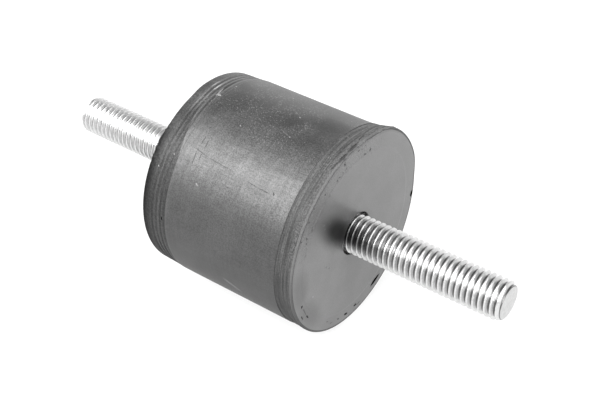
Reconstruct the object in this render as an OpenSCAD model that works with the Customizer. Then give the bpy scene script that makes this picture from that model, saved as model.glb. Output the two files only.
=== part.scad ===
// Cylindrical rubber transmission mount with a stud at each end.
// A solid rubber cushion is moulded round two steel plates. Each plate carries a headed
// stud whose head is buried in the rubber, so the two studs meet only through the cushion.
// The axis of the mount lies along X and the origin is at the middle of the rubber body.

/* [Rubber body] */
// Outside diameter of the rubber wall
body_d = 52; // [44:0.5:64]
// Length of the rubber body from end face to end face
body_len = 46; // [38:0.5:70]
// Thickness of the rubber skin over the outer face of each plate
skin_t = 0.8; // [0.5:0.1:1.5]
// Thickness of the rubber outside the edge of each plate
edge_cover = 4; // [2:0.1:6]
// Width of the open ring left in the skin round each stud
skin_gap = 0.6; // [0.3:0.1:1]

/* [Front band] */
// Width of the moulded band at the front end
front_band_w = 5.1; // [4.6:0.1:8]
// Depth of the small step where the front band starts
front_step = 0.15; // [0.05:0.05:0.4]
// How far the front rim stands out beyond the rubber wall
front_flare = 0.25; // [0:0.05:0.6]
// Rounding of the front rim
front_rim_r = 0.5; // [0.3:0.1:0.6]
// Number of ring grooves on the front band
front_grooves = 2; // [1:1:2]

/* [Rear band] */
// Width of the moulded band at the rear end
rear_band_w = 7.8; // [6.8:0.1:9]
// How far the rear rim draws in from the rubber wall
rear_draw = 0.35; // [0.2:0.05:1.2]
// Rounding of the rear rim
rear_rim_r = 1; // [0.3:0.1:1]
// Number of ring grooves on the rear band
rear_grooves = 3; // [1:1:3]

/* [Ring grooves] */
// Radius of the round bottom of a ring groove
groove_r = 0.35; // [0.25:0.05:0.5]
// Depth of a ring groove
groove_depth = 0.14; // [0.08:0.02:0.24]
// Distance from one ring groove to the next
groove_pitch = 1.3; // [1.2:0.05:1.4]
// Distance from the start of a band to its first groove
groove_lead = 1.6; // [1:0.1:1.7]

/* [Plates] */
// Thickness of each steel plate
plate_t = 3; // [2:0.25:5]
// Chamfer on the edges of each plate
plate_chamfer = 0.4; // [0.2:0.1:0.8]

/* [Studs] */
// Outside diameter of the stud thread
stud_d = 10; // [6:1:12]
// Length of each stud beyond the end face
stud_len = 41.5; // [20:0.5:60]
// Depth of the relief groove at the root of the thread
relief_depth = 0.5; // [0.3:0.1:0.8]
// Distance from the end face to the first full thread
relief_len = 1; // [0.5:0.1:2]
// How far the chamfer at the tip goes in from the thread
tip_chamfer_depth = 0.7; // [0.3:0.1:1]
// Length of the chamfer at the tip
tip_chamfer_len = 1; // [0.5:0.1:2]
// How far the neck in the plate stands out beyond the thread
neck_margin = 0.5; // [0.2:0.1:1]
// How far the buried head reaches out beyond the neck
head_margin = 2.5; // [1.5:0.1:4]
// Thickness of the buried head
head_t = 3; // [2:0.25:5]

/* [Fits] */
// Thickness of the bonding film between rubber and steel
bond_film = 0.02; // [0.01:0.01:0.05]
// Radial clearance of a stud neck in its plate
neck_gap = 0.05; // [0.02:0.01:0.1]

/* [Hidden] */
$fn = 96;

body_r = body_d / 2;
half_len = body_len / 2;

front_band_z = half_len - front_band_w;
front_band_r = body_r - front_step;
front_rim_outer_r = body_r + front_flare;
rear_band_z = half_len - rear_band_w;
rear_rim_outer_r = body_r - rear_draw;

plate_r = body_r - edge_cover;
plate_top = half_len - skin_t;
plate_bottom = plate_top - plate_t;

stud_r = stud_d / 2;
neck_r = stud_r + neck_margin;
head_r = neck_r + head_margin;
head_bottom = plate_bottom - head_t;
thread_start = half_len + relief_len;
stud_tip = half_len + stud_len;

// Overlap that lets two outlines or cuts run into each other
overrun = 1;

rubber_color = [0.37, 0.37, 0.38];
plate_color = [0.55, 0.56, 0.58];
zinc_color = [0.82, 0.83, 0.85];

// Turns a shape that points up so that it points to the front end
module to_front() {
    rotate([0, 90, 0]) children();
}

// Turns a shape that points up so that it points to the rear end
module to_rear() {
    rotate([0, -90, 0]) children();
}

// Radius of a band's sloping face at a height between its start and its rim
function band_face_r(start_z, start_r, land_z, rim_outer_r, z) =
    start_r + (rim_outer_r - start_r) * (z - start_z) / (land_z - start_z);

// Half section of one end of the rubber, from the middle up to the end face.
// The wall runs to the start of the band, the band slopes to a short land, and the land
// rounds over into the flat end face. Ring grooves are cut into the slope.
module end_section(start_z, start_r, rim_outer_r, rim_r, grooves) {
    round_z = half_len - rim_r;
    land_z = round_z - rim_r;
    difference() {
        union() {
            square([body_r, start_z]);
            polygon([
                [0, 0],
                [start_r, 0],
                [start_r, start_z],
                [rim_outer_r, land_z],
                [rim_outer_r, round_z],
                [0, round_z]
            ]);
            translate([rim_outer_r - rim_r, round_z]) circle(rim_r);
            square([rim_outer_r - rim_r, half_len]);
        }
        for (i = [0 : grooves - 1]) {
            z = start_z + groove_lead + i * groove_pitch;
            face_r = band_face_r(start_z, start_r, land_z, rim_outer_r, z);
            translate([face_r + groove_r - groove_depth, z]) circle(groove_r);
        }
    }
}

// Half section of a plate with chamfered edges, grown all round by a film
module plate_section(film) {
    r = plate_r + film;
    bottom = plate_bottom - film;
    top = plate_top + film;
    polygon([
        [0, bottom],
        [r - plate_chamfer, bottom],
        [r, bottom + plate_chamfer],
        [r, top - plate_chamfer],
        [r - plate_chamfer, top],
        [0, top]
    ]);
}

// Half section of the buried stud head with a chamfered inner edge, grown by a film
module head_section(film) {
    r = head_r + film;
    bottom = head_bottom - film;
    polygon([
        [0, bottom],
        [r - plate_chamfer, bottom],
        [r, bottom + plate_chamfer],
        [r, plate_bottom],
        [0, plate_bottom]
    ]);
}

// Half section of the room that the rubber leaves for a plate, a stud head and the stud
module insert_room_section() {
    plate_section(bond_film);
    head_section(bond_film);
    translate([0, plate_bottom]) square([stud_r + skin_gap, half_len + overrun - plate_bottom]);
}

// One end of the rubber body as a solid of revolution, pointing up
module rubber_end(start_z, start_r, rim_outer_r, rim_r, grooves) {
    rotate_extrude() difference() {
        end_section(start_z, start_r, rim_outer_r, rim_r, grooves);
        insert_room_section();
    }
}

// Moulded cushion: two different ends that meet at the middle
module rubber_body() {
    color(rubber_color) union() {
        to_front()
            rubber_end(front_band_z, front_band_r, front_rim_outer_r, front_rim_r, front_grooves);
        to_rear()
            rubber_end(rear_band_z, body_r, rear_rim_outer_r, rear_rim_r, rear_grooves);
    }
}

// Steel plate with the hole for its stud, pointing up
module plate() {
    rotate_extrude() difference() {
        plate_section(0);
        translate([0, plate_bottom - overrun])
            square([neck_r + neck_gap, plate_t + 2 * overrun]);
    }
}

module front_plate() {
    color(plate_color) to_front() plate();
}

module rear_plate() {
    color(plate_color) to_rear() plate();
}

// Headed stud, pointing up: head, neck in the plate, relief, thread and chamfered tip
module stud() {
    relief_r = stud_r - relief_depth;
    rotate_extrude() {
        head_section(0);
        polygon([
            [0, plate_bottom],
            [neck_r, plate_bottom],
            [neck_r, plate_top],
            [relief_r, plate_top],
            [relief_r, thread_start - relief_depth],
            [stud_r, thread_start],
            [stud_r, stud_tip - tip_chamfer_len],
            [stud_r - tip_chamfer_depth, stud_tip],
            [0, stud_tip]
        ]);
    }
}

module front_stud() {
    color(zinc_color) to_front() stud();
}

module rear_stud() {
    color(zinc_color) to_rear() stud();
}

rubber_body();
front_plate();
rear_plate();
front_stud();
rear_stud();
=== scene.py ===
"""Studio picture of a cylindrical rubber transmission mount with a threaded stud at each end.

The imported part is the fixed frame: its axis lies along X, its origin is at the middle of the rubber.
The rubber cushion and the two studs are replaced by finer surfaces of the same sizes, worked out as
profiles turned about the axis. The steel plates inside the rubber stay as they are.
Sizes in the classes are millimetres and angles are degrees, unless a name says otherwise.
"""

import logging
import math
from dataclasses import dataclass, field
from enum import Enum

import bpy
import numpy as np
from mathutils import Matrix, Vector


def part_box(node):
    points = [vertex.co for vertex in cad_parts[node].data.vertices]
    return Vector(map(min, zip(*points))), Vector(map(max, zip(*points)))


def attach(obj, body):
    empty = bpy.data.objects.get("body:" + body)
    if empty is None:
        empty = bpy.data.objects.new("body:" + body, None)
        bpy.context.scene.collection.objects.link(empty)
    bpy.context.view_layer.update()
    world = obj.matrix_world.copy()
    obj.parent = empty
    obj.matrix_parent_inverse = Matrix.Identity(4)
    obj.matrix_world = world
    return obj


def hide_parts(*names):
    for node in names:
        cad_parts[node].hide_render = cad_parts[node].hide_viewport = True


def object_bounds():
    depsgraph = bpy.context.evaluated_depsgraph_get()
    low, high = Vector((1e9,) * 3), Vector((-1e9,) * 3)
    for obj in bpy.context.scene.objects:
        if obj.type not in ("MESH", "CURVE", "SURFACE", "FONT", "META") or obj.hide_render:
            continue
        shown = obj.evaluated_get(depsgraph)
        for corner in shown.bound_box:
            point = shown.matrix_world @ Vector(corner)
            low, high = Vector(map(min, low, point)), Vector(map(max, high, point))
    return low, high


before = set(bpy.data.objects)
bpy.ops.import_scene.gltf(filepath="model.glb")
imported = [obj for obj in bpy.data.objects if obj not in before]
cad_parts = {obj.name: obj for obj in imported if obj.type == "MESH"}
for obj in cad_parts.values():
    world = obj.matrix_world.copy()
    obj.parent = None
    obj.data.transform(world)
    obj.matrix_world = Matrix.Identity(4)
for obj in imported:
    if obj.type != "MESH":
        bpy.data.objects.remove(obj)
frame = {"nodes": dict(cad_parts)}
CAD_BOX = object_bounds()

LOG = logging.getLogger("transmission_mount")
MM = 0.001
BODY = "root"
FULL_TURN = 2.0 * math.pi
Pair = tuple[float, float]
MarkRow = tuple[Pair, Pair, float, float]
Socket = bpy.types.NodeSocket


class End(Enum):
    """The two ends of the mount; the value is the sign of X there."""

    FRONT = 1
    REAR = -1

    @property
    def plate_node(self) -> str:
        """Name of the steel plate node at this end."""
        return f"{self.name.lower()}_plate"

    @property
    def stud_node(self) -> str:
        """Name of the stud node at this end."""
        return f"{self.name.lower()}_stud"


class Tone(Enum):
    """How a surface mark differs from the rubber round it; the value is how soft its edge is."""

    DARK = ("dark", 0.5)
    LIGHT = ("light", 0.5)
    # DULL marks also paint shade: the stud's shadow and reflection on the face, and the face's darker
    # lower edge.
    DULL = ("dull", 0.8)

    @property
    def softness(self) -> float:
        """Share of the way in from a mark's edge at which it has its full strength."""
        return self.value[1]


def direction(azimuth: float, elevation: float) -> np.ndarray:
    """Unit vector from the origin to a viewpoint.

    Args:
        azimuth: Turn about Z, from -Y towards +X.
        elevation: Angle above the XY plane.

    Returns:
        X, Y and Z of the vector.
    """
    turn = math.radians(azimuth)
    rise = math.radians(elevation)
    level = math.cos(rise)
    return np.array([math.sin(turn) * level, -math.cos(turn) * level, math.sin(rise)])


@dataclass(frozen=True)
class View:
    """The photographer's place: angles about the origin, and what the picture is centred on."""

    azimuth: float = 36.47
    elevation: float = 37.75
    distance: float = 304.73
    right_of_origin: float = 4.97
    up_of_origin: float = -0.36
    focal_length: float = 73.375
    sensor_width: float = 36.0

    @property
    def back(self) -> np.ndarray:
        """Unit vector from the object towards the camera."""
        return direction(self.azimuth, self.elevation)

    @property
    def place(self) -> np.ndarray:
        """The camera's place in millimetres.

        Returns:
            X, Y and Z of the place.
        """
        right = direction(self.azimuth + 90.0, 0.0)
        up = np.cross(self.back, right)
        return self.back * self.distance + right * self.right_of_origin + up * self.up_of_origin

    @property
    def facing_angle(self) -> float:
        """Angle about X, from +Y towards +Z, of the line on the rubber wall that faces the camera."""
        return math.degrees(math.atan2(self.back[2], self.back[1]))


VIEW = View()


def bell(values: np.ndarray, centre: float | np.ndarray, half_width: float) -> np.ndarray:
    """Gaussian bell of height one: exp of minus the squared distance over half_width squared."""
    return np.exp(-(((values - centre) / half_width) ** 2))


def smooth_step(values: np.ndarray, low: float, high: float) -> np.ndarray:
    """Rise from 0 at low to 1 at high along the cubic 3t^2 - 2t^3."""
    share = np.clip((values - low) / (high - low), 0.0, 1.0)
    return share * share * (3.0 - 2.0 * share)


@dataclass(frozen=True)
class Arc:
    """A stretch of the turn about the axis that fades out past both ends.

    Its middle is counted from the line that faces the camera, and falls in the picture as it grows.
    It is full to half its width on each side, and fades to nothing over a further angle.
    """

    middle: float
    half: float
    fade: float

    def share(self, angles: np.ndarray) -> np.ndarray:
        """One on the stretch and zero past its fading ends.

        Args:
            angles: Angles about the axis in radians.

        Returns:
            The share at each angle.
        """
        middle = math.radians(VIEW.facing_angle + self.middle)
        off = np.abs((angles - middle + np.pi) % FULL_TURN - np.pi)
        return 1.0 - smooth_step(off, math.radians(self.half), math.radians(self.half + self.fade))


@dataclass(frozen=True)
class RingNoise:
    """Smooth noise that closes round the axis.

    It is a sum of cosines with whole numbers of waves per turn from lowest to highest, equal in
    height and random in phase, scaled to unit spread.
    """

    lowest: int
    highest: int
    seed: int

    def values(self, angles: np.ndarray) -> np.ndarray:
        """The noise at each angle.

        Args:
            angles: Angles about the axis in radians.

        Returns:
            Values that are zero on average.
        """
        waves = np.arange(self.lowest, self.highest + 1)
        phases = np.random.default_rng(self.seed).uniform(0.0, FULL_TURN, waves.size)
        total = np.cos(np.outer(angles, waves) + phases).sum(axis=1)
        return total * math.sqrt(2.0 / waves.size)


@dataclass
class Profile:
    """An open outline in the half plane of X and radius, gathered stretch by stretch."""

    x: list[np.ndarray] = field(default_factory=list)
    r: list[np.ndarray] = field(default_factory=list)

    def line(self, start: Pair, end: Pair, count: int) -> None:
        """Add count points on a straight stretch, with its start and without its end.

        Args:
            start: X and radius of the first point.
            end: X and radius that the stretch runs to.
            count: Number of points.
        """
        share = np.arange(count) / count
        self.x.append(start[0] + (end[0] - start[0]) * share)
        self.r.append(start[1] + (end[1] - start[1]) * share)

    def arc(self, centre: Pair, radius: float, start: float, end: float, count: int) -> None:
        """Add count points on a circular stretch, with its start and without its end.

        Args:
            centre: X and radius of the arc's centre.
            radius: Radius of the arc.
            start: First angle in degrees from +X towards the outside.
            end: Angle that the arc runs to.
            count: Number of points.
        """
        angle = np.radians(start + (end - start) * np.arange(count) / count)
        self.x.append(centre[0] + radius * np.cos(angle))
        self.r.append(centre[1] + radius * np.sin(angle))

    @property
    def count(self) -> int:
        """Number of points so far."""
        return sum(part.size for part in self.x)

    def arrays(self) -> tuple[np.ndarray, np.ndarray]:
        """The whole outline as one array of X and one of radius."""
        return np.concatenate(self.x), np.concatenate(self.r)


def even_turn(columns: int) -> np.ndarray:
    """Angles in radians that share a whole turn evenly."""
    return np.linspace(0.0, FULL_TURN, columns, endpoint=False)


def revolve(name: str, x: np.ndarray, r: np.ndarray, angles: np.ndarray) -> bpy.types.Object:
    """Make a closed mesh from rings about the X axis, with a pole at each end.

    Vertex (i, j) is at X = x[i, j], Y = r[i, j] cos angle[j], Z = r[i, j] sin angle[j]. Quads join
    neighbouring rings, and a fan of triangles joins the first and last ring to a point on the axis.

    Args:
        name: Name of the new object.
        x: X of each vertex in millimetres, rings by angles.
        r: Radius of each vertex in millimetres, rings by angles.
        angles: Angle of each column in radians, rising and evenly closed over a turn.

    Returns:
        The object, with smooth faces that point outwards when X falls from ring to ring.
    """
    rings, columns = x.shape
    grid = np.stack([x, r * np.cos(angles), r * np.sin(angles)], axis=-1).reshape(-1, 3)
    poles = np.array([[x[0].mean(), 0.0, 0.0], [x[-1].mean(), 0.0, 0.0]])
    vertices = np.concatenate([grid, poles]) * MM
    index = np.arange(rings * columns).reshape(rings, columns)
    right = np.roll(index, -1, axis=1)
    quads = np.stack([index[:-1], right[:-1], right[1:], index[1:]], axis=-1).reshape(-1, 4)
    first_pole = np.full(columns, rings * columns)
    last_pole = first_pole + 1
    first_fan = np.stack([first_pole, right[0], index[0]], axis=-1)
    last_fan = np.stack([last_pole, index[-1], right[-1]], axis=-1)
    fans = np.concatenate([first_fan, last_fan])
    corners = np.concatenate([quads.ravel(), fans.ravel()])
    sizes = np.concatenate([np.full(len(quads), 4), np.full(len(fans), 3)])
    starts = np.concatenate([[0], np.cumsum(sizes)[:-1]])
    mesh = bpy.data.meshes.new(name)
    mesh.vertices.add(len(vertices))
    mesh.vertices.foreach_set("co", vertices.astype(np.float32).ravel())
    mesh.loops.add(len(corners))
    mesh.loops.foreach_set("vertex_index", corners.astype(np.int32))
    mesh.polygons.add(len(sizes))
    mesh.polygons.foreach_set("loop_start", starts.astype(np.int32))
    mesh.polygons.foreach_set("use_smooth", np.ones(len(sizes), dtype=bool))
    mesh.update(calc_edges=True)
    mesh.validate()
    piece = bpy.data.objects.new(name, mesh)
    bpy.context.scene.collection.objects.link(piece)
    return piece


@dataclass(frozen=True)
class Texture:
    """A noise on a surface: its waves per millimetre along X, Y and Z, and its octaves."""

    waves: tuple[float, float, float]
    octaves: float


@dataclass(frozen=True)
class Swing:
    """How a noise moves a value: from least at the noise's low end to most at its high end."""

    low: float
    high: float
    least: float
    most: float


class Shader:
    """Short hand for making one material's nodes on a piece that is round about the X axis."""

    def __init__(self, name: str) -> None:
        """Start a material with a principled shader, and find the place on the piece.

        Args:
            name: Name of the material.
        """
        self.material = bpy.data.materials.new(name)
        self.material.use_nodes = True
        self.tree = self.material.node_tree
        self.surface = self.tree.nodes["Principled BSDF"]
        coordinates = self.node("TexCoord")
        self.place = self.scaled(coordinates.outputs["Object"], (1.0 / MM,) * 3)

    def node(self, kind: str, **settings: object) -> bpy.types.Node:
        """Add a node and set its properties.

        Args:
            kind: Type of the node without its ShaderNode prefix.
            **settings: Properties to set on it.

        Returns:
            The new node.
        """
        made = self.tree.nodes.new("ShaderNode" + kind)
        for key, value in settings.items():
            setattr(made, key, value)
        return made

    def feed(self, socket: Socket, value: object) -> None:
        """Link a socket into another one, or set a plain value on it.

        Args:
            socket: The input to fill.
            value: An output socket, or a number, colour or vector.
        """
        if isinstance(value, Socket):
            self.tree.links.new(value, socket)
        else:
            socket.default_value = value

    def give(self, **inputs: object) -> None:
        """Fill inputs of the principled shader, named with underscores for spaces."""
        for name, value in inputs.items():
            self.feed(self.surface.inputs[name.replace("_", " ")], value)

    def math(self, operation: str, first: object, second: object = 0.0) -> Socket:
        """Output of a math node on one or two values.

        Args:
            operation: Name of the operation.
            first: First socket or number.
            second: Second socket or number.

        Returns:
            The value as a socket.
        """
        made = self.node("Math", operation=operation)
        self.feed(made.inputs[0], first)
        self.feed(made.inputs[1], second)
        return made.outputs[0]

    def product(self, *values: object) -> object:
        """All the values multiplied together.

        Args:
            *values: Sockets or numbers.

        Returns:
            The value as a socket.
        """
        total = values[0]
        for value in values[1:]:
            total = self.math("MULTIPLY", total, value)
        return total

    def larger(self, first: object, second: object) -> Socket:
        """The larger of two values."""
        return self.math("MAXIMUM", first, second)

    def rest(self, share: object) -> Socket:
        """What a share leaves of one."""
        return self.math("SUBTRACT", 1.0, share)

    def scaled(self, vector: Socket, factors: tuple[float, float, float]) -> Socket:
        """A vector with each part multiplied by its own factor.

        Args:
            vector: The vector's socket.
            factors: Factors of X, Y and Z.

        Returns:
            The vector as a socket.
        """
        made = self.node("VectorMath", operation="MULTIPLY")
        self.feed(made.inputs[0], vector)
        self.feed(made.inputs[1], factors)
        return made.outputs[0]

    def added(self, first: Socket, second: object) -> Socket:
        """Sum of two vectors.

        Args:
            first: The first vector's socket.
            second: Socket or parts of the second vector.

        Returns:
            The vector as a socket.
        """
        made = self.node("VectorMath", operation="ADD")
        self.feed(made.inputs[0], first)
        self.feed(made.inputs[1], second)
        return made.outputs[0]

    def spread(self, value: object, low: float, high: float, to_low: object, to_high: object) -> Socket:
        """A value carried smoothly from one range to another, held at its ends.

        Args:
            value: What is carried.
            low: Low end of its range.
            high: High end of its range.
            to_low: What the low end becomes.
            to_high: What the high end becomes.

        Returns:
            The value as a socket.
        """
        made = self.node("MapRange", interpolation_type="SMOOTHSTEP")
        for socket, number in zip(made.inputs, (value, low, high, to_low, to_high)):
            self.feed(socket, number)
        return made.outputs[0]

    def rise(self, value: object, low: float, high: float) -> Socket:
        """A smooth rise from zero at a low value to one at a high value."""
        return self.spread(value, low, high, 0.0, 1.0)

    def fall(self, value: object, low: float, high: float) -> Socket:
        """A smooth fall from one at a low value to zero at a high value."""
        return self.spread(value, low, high, 1.0, 0.0)

    def between(self, value: object, low: float, high: float, edge: float) -> Socket:
        """One between two values, falling smoothly to zero over an edge beyond each."""
        return self.product(self.rise(value, low - edge, low), self.fall(value, high, high + edge))

    def swing(self, noise: Socket, swing: Swing) -> Socket:
        """A noise carried to the values that a swing gives it."""
        return self.spread(noise, swing.low, swing.high, swing.least, swing.most)

    def texture(self, texture: Texture) -> Socket:
        """Value of a noise on the piece, about one half on average.

        Args:
            texture: Waves and octaves of the noise.

        Returns:
            The value as a socket.
        """
        made = self.node("TexNoise")
        self.feed(made.inputs["Vector"], self.scaled(self.place, texture.waves))
        self.feed(made.inputs["Scale"], 1.0)
        self.feed(made.inputs["Detail"], texture.octaves)
        return made.outputs["Fac"]

    def blend(self, share: object, first: object, second: object) -> Socket:
        """Mix of two numbers: the first at share 0, the second at share 1.

        Args:
            share: Share of the second.
            first: First socket or number.
            second: Second socket or number.

        Returns:
            The value as a socket.
        """
        made = self.node("Mix", data_type="FLOAT")
        self.feed(made.inputs[0], share)
        self.feed(made.inputs[2], first)
        self.feed(made.inputs[3], second)
        return made.outputs[0]

    def gained(self, value: object, share: object, gain: object) -> Socket:
        """A value that is multiplied by a gain where the share is one, and left where it is zero."""
        return self.product(value, self.blend(share, 1.0, gain))

    def grey(self, value: Socket) -> Socket:
        """A neutral colour of that brightness.

        Args:
            value: The brightness.

        Returns:
            The colour as a socket.
        """
        made = self.node("CombineColor")
        for socket in made.inputs:
            self.feed(socket, value)
        return made.outputs[0]

    def bump(self, height: Socket, distance_mm: float) -> None:
        """Let a height between 0 and 1 raise the surface's shading.

        Args:
            height: Height as a share of the distance.
            distance_mm: Height that one stands for.
        """
        made = self.node("Bump")
        self.feed(made.inputs["Strength"], 1.0)
        self.feed(made.inputs["Distance"], distance_mm * MM)
        self.feed(made.inputs["Height"], height)
        self.give(Normal=made.outputs["Normal"])

    def find_axis(self) -> None:
        """Find X, Y and Z on the piece, and the distance from the X axis."""
        made = self.node("SeparateXYZ")
        self.feed(made.inputs[0], self.place)
        self.x, self.y, self.z = made.outputs
        squares = self.math("ADD", self.product(self.y, self.y), self.product(self.z, self.z))
        self.radius = self.math("SQRT", squares)

    def over(self, arc: Arc) -> Socket:
        """One on an arc and zero past its fading ends, smooth in the cosine of the turn.

        Args:
            arc: The stretch of the turn.

        Returns:
            The share as a socket.
        """
        middle = math.radians(VIEW.facing_angle + arc.middle)
        along_y = self.product(self.y, math.cos(middle))
        along_z = self.product(self.z, math.sin(middle))
        cosine = self.math("DIVIDE", self.math("ADD", along_y, along_z), self.radius)
        none_at = math.cos(math.radians(arc.half + arc.fade))
        return self.rise(cosine, none_at, math.cos(math.radians(arc.half)))


@dataclass(frozen=True)
class Place:
    """A place on the rubber: X, radius, and angle about the axis from the line that faces the camera."""

    x: float
    radius: float
    angle: float

    def outward(self) -> Vector:
        """Unit vector away from the axis."""
        angle = math.radians(VIEW.facing_angle + self.angle)
        return Vector((0.0, math.cos(angle), math.sin(angle)))

    def point(self) -> Vector:
        """The place as a vector in millimetres."""
        return Vector((self.x, 0.0, 0.0)) + self.outward() * self.radius


@dataclass(frozen=True)
class Mark:
    """A scratch, nick, pit, scuff or painted shadow: a soft lens from one place on the rubber to another.
    """

    start: Place
    end: Place
    width: float
    strength: float
    tone: Tone
    on_face: bool = False

    def length(self) -> float:
        """Length from tip to tip, with a round end of half the width beyond each place."""
        return (self.end.point() - self.start.point()).length + self.width

    def placing(self) -> tuple[Vector, Matrix]:
        """Centre of the mark, and the turn of its length, width and depth axes.

        Returns:
            The centre in millimetres, and a matrix with the axes as columns.
        """
        centre = (self.start.point() + self.end.point()) / 2.0
        depth = Vector((1.0, 0.0, 0.0)) if self.on_face else self.start.outward()
        across = depth.cross(self.end.point() - self.start.point()).normalized()
        along = across.cross(depth).normalized()
        return centre, Matrix((along, across, along.cross(across))).transposed()


@dataclass(frozen=True)
class CushionMarks:
    """The scratches, nicks, pits and scuffs that the cushion has picked up, and some painted shadows.

    A row is the start, the end, the width and the strength of one mark. A place on the wall is X and
    angle, and a place on the face is radius and angle.
    """

    half_len: float
    wall_r: float

    def wall_place(self, x: float, angle: float) -> Place:
        """A place on the wall or a band."""
        return Place(x, self.wall_r, angle)

    def on_wall(self, tone: Tone, *rows: MarkRow) -> list[Mark]:
        """Marks of one tone on the wall or a band."""
        return [
            Mark(self.wall_place(*start), self.wall_place(*end), width, strength, tone)
            for start, end, width, strength in rows
        ]

    def on_face(self, tone: Tone, *rows: MarkRow) -> list[Mark]:
        """Marks of one tone on the front face."""
        return [
            Mark(Place(self.half_len, *start), Place(self.half_len, *end), width, strength, tone, True)
            for start, end, width, strength in rows
        ]

    def scratches(self) -> list[Mark]:
        """Fine dark scratches along and round the bright stretch of the wall."""
        return self.on_wall(
            Tone.DARK,
            ((-12.3, -6.4), (-7.7, -4.2), 0.22, 0.24),
            ((-7.7, -4.2), (0.0, -3.2), 0.22, 0.26),
            ((4.0, -1.3), (8.0, -0.6), 0.2, 0.24),
            ((8.0, -0.6), (11.8, -0.3), 0.2, 0.26),
            ((12.3, -1.4), (12.5, -0.7), 0.4, 0.6),
            ((-11.0, -14.2), (-11.2, -8.5), 0.24, 0.42),
            ((-9.8, -13.1), (-9.7, -7.5), 0.22, 0.38),
            ((-11.2, -4.7), (-11.0, 2.6), 0.24, 0.4),
            ((-9.75, -4.5), (-9.7, -0.8), 0.22, 0.38),
            ((-6.1, -17.4), (-5.9, -13.5), 0.2, 0.25),
            ((-11.9, -18.5), (-11.2, -19.9), 0.3, 0.5),
            ((-0.5, 5.9), (2.1, 5.6), 0.2, 0.2),
        )

    def band_nicks_and_flash_shadows(self) -> list[Mark]:
        """Dark nick on the rear band, and painted shadows under the torn flash along the front rim."""
        return self.on_wall(
            Tone.DARK,
            ((-16.3, 37.4), (-16.2, 39.0), 0.6, 1.0),
            # Painted shadows under the torn flash along the front rim.
            ((21.9, -24.0), (22.3, -31.0), 0.7, 0.5),
            ((22.4, -29.0), (22.5, -38.0), 1.1, 0.6),
            ((22.5, -37.0), (22.4, -47.0), 1.1, 0.6),
            ((22.0, -48.0), (21.2, -57.0), 0.6, 0.5),
        )

    def wall_clouds(self) -> list[Mark]:
        """Broad dull clouds on the upper wall."""
        return self.on_wall(
            Tone.DULL,
            ((-14.0, -35.0), (-8.0, -43.0), 11.0, 0.3),
            ((-1.0, -40.0), (7.0, -44.0), 10.0, 0.3),
            ((6.0, -30.0), (13.0, -36.0), 9.0, 0.2),
            ((9.0, -48.0), (15.0, -53.0), 10.0, 0.26),
        )

    def wall_flecks(self) -> list[Mark]:
        """Pale flecks and faint streaks on the wall."""
        return self.on_wall(
            Tone.LIGHT,
            ((4.2, -35.2), (7.7, -32.6), 0.2, 0.12),
            ((1.7, -53.1), (5.5, -48.8), 0.2, 0.1),
            ((7.6, -32.6), (7.8, -32.4), 0.4, 0.3),
            ((-8.1, 10.4), (-7.3, 11.4), 0.4, 0.22),
            ((1.5, 61.9), (6.4, 68.0), 1.5, 0.14),
            ((-5.1, -27.3), (-4.8, -27.0), 0.35, 0.3),
            ((-2.0, -64.7), (-1.6, -63.9), 0.35, 0.3),
            ((5.3, -48.3), (5.7, -47.9), 0.4, 0.3),
            ((-15.3, -52.4), (-14.9, -51.9), 0.4, 0.3),
        )

    def rear_scuffs(self) -> list[Mark]:
        """Pale scuffs and flecks on the rear band."""
        return self.on_wall(
            Tone.LIGHT,
            ((-16.9, 1.3), (-16.8, 1.7), 0.35, 0.3),
            ((-19.9, 10.4), (-19.8, 10.8), 0.35, 0.3),
            ((-18.85, -42.5), (-18.8, -50.0), 0.6, 0.34),
            ((-16.7, -38.3), (-17.2, -47.4), 0.5, 0.26),
            ((-17.0, -40.8), (-15.5, -40.3), 0.6, 0.32),
            ((-20.2, -44.0), (-20.1, -52.0), 0.4, 0.24),
        )

    def face_painted_shadows(self) -> list[Mark]:
        """Painted shadow and reflection of the stud beside its root, and painted shade along the lower
        edge of the face.
        """
        return self.on_face(
            Tone.DULL,
            # Painted shadow and reflection of the stud, beside its root.
            ((4.5, 21.0), (15.0, 5.5), 11.5, 0.86),
            # Painted shade: darker along the lower edge of the face.
            ((23.0, 38.0), (23.5, 62.0), 9.0, 0.3),
            ((23.5, 62.0), (23.0, 90.0), 9.0, 0.3),
        )

    def face_flecks(self) -> list[Mark]:
        """Pale flecks on the front face."""
        return self.on_face(
            Tone.LIGHT,
            ((17.2, 4.0), (17.9, 5.2), 0.6, 0.14),
            ((16.2, 7.0), (16.6, 7.6), 0.5, 0.12),
            ((14.8, 1.0), (15.2, 2.0), 0.4, 0.12),
            ((19.2, 67.4), (19.3, 67.8), 0.45, 0.5),
        )

    def face_nicks(self) -> list[Mark]:
        """Dark nicks and pits on the front face, most of them along its edge."""
        return self.on_face(
            Tone.DARK,
            ((23.9, 162.4), (23.6, 152.6), 1.5, 1.0),
            ((23.2, 62.6), (23.4, 64.0), 0.65, 0.9),
            ((23.4, 74.0), (23.4, 78.0), 0.55, 0.8),
            ((23.2, 65.0), (23.4, 74.0), 0.35, 0.55),
            ((24.6, 69.0), (24.7, 73.5), 0.5, 0.7),
            ((23.9, 124.0), (24.2, 127.0), 0.9, 0.9),
            ((23.7, 134.4), (23.9, 136.4), 0.8, 0.9),
            ((23.9, 116.5), (24.0, 118.0), 0.5, 0.7),
            ((23.4, 103.0), (23.4, 105.5), 0.35, 0.5),
            ((24.2, 108.0), (24.0, 111.0), 0.35, 0.5),
            ((24.4, 136.0), (24.2, 141.0), 0.4, 0.6),
            ((25.2, -144.8), (25.5, -142.2), 1.5, 1.0),
            ((12.6, 53.0), (12.6, 54.5), 0.4, 0.4),
            ((11.7, 59.0), (11.7, 60.5), 0.4, 0.5),
            ((22.8, -33.9), (22.6, -32.5), 0.5, 0.5),
            ((22.4, -27.0), (22.9, -25.5), 0.5, 0.5),
        )

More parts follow.
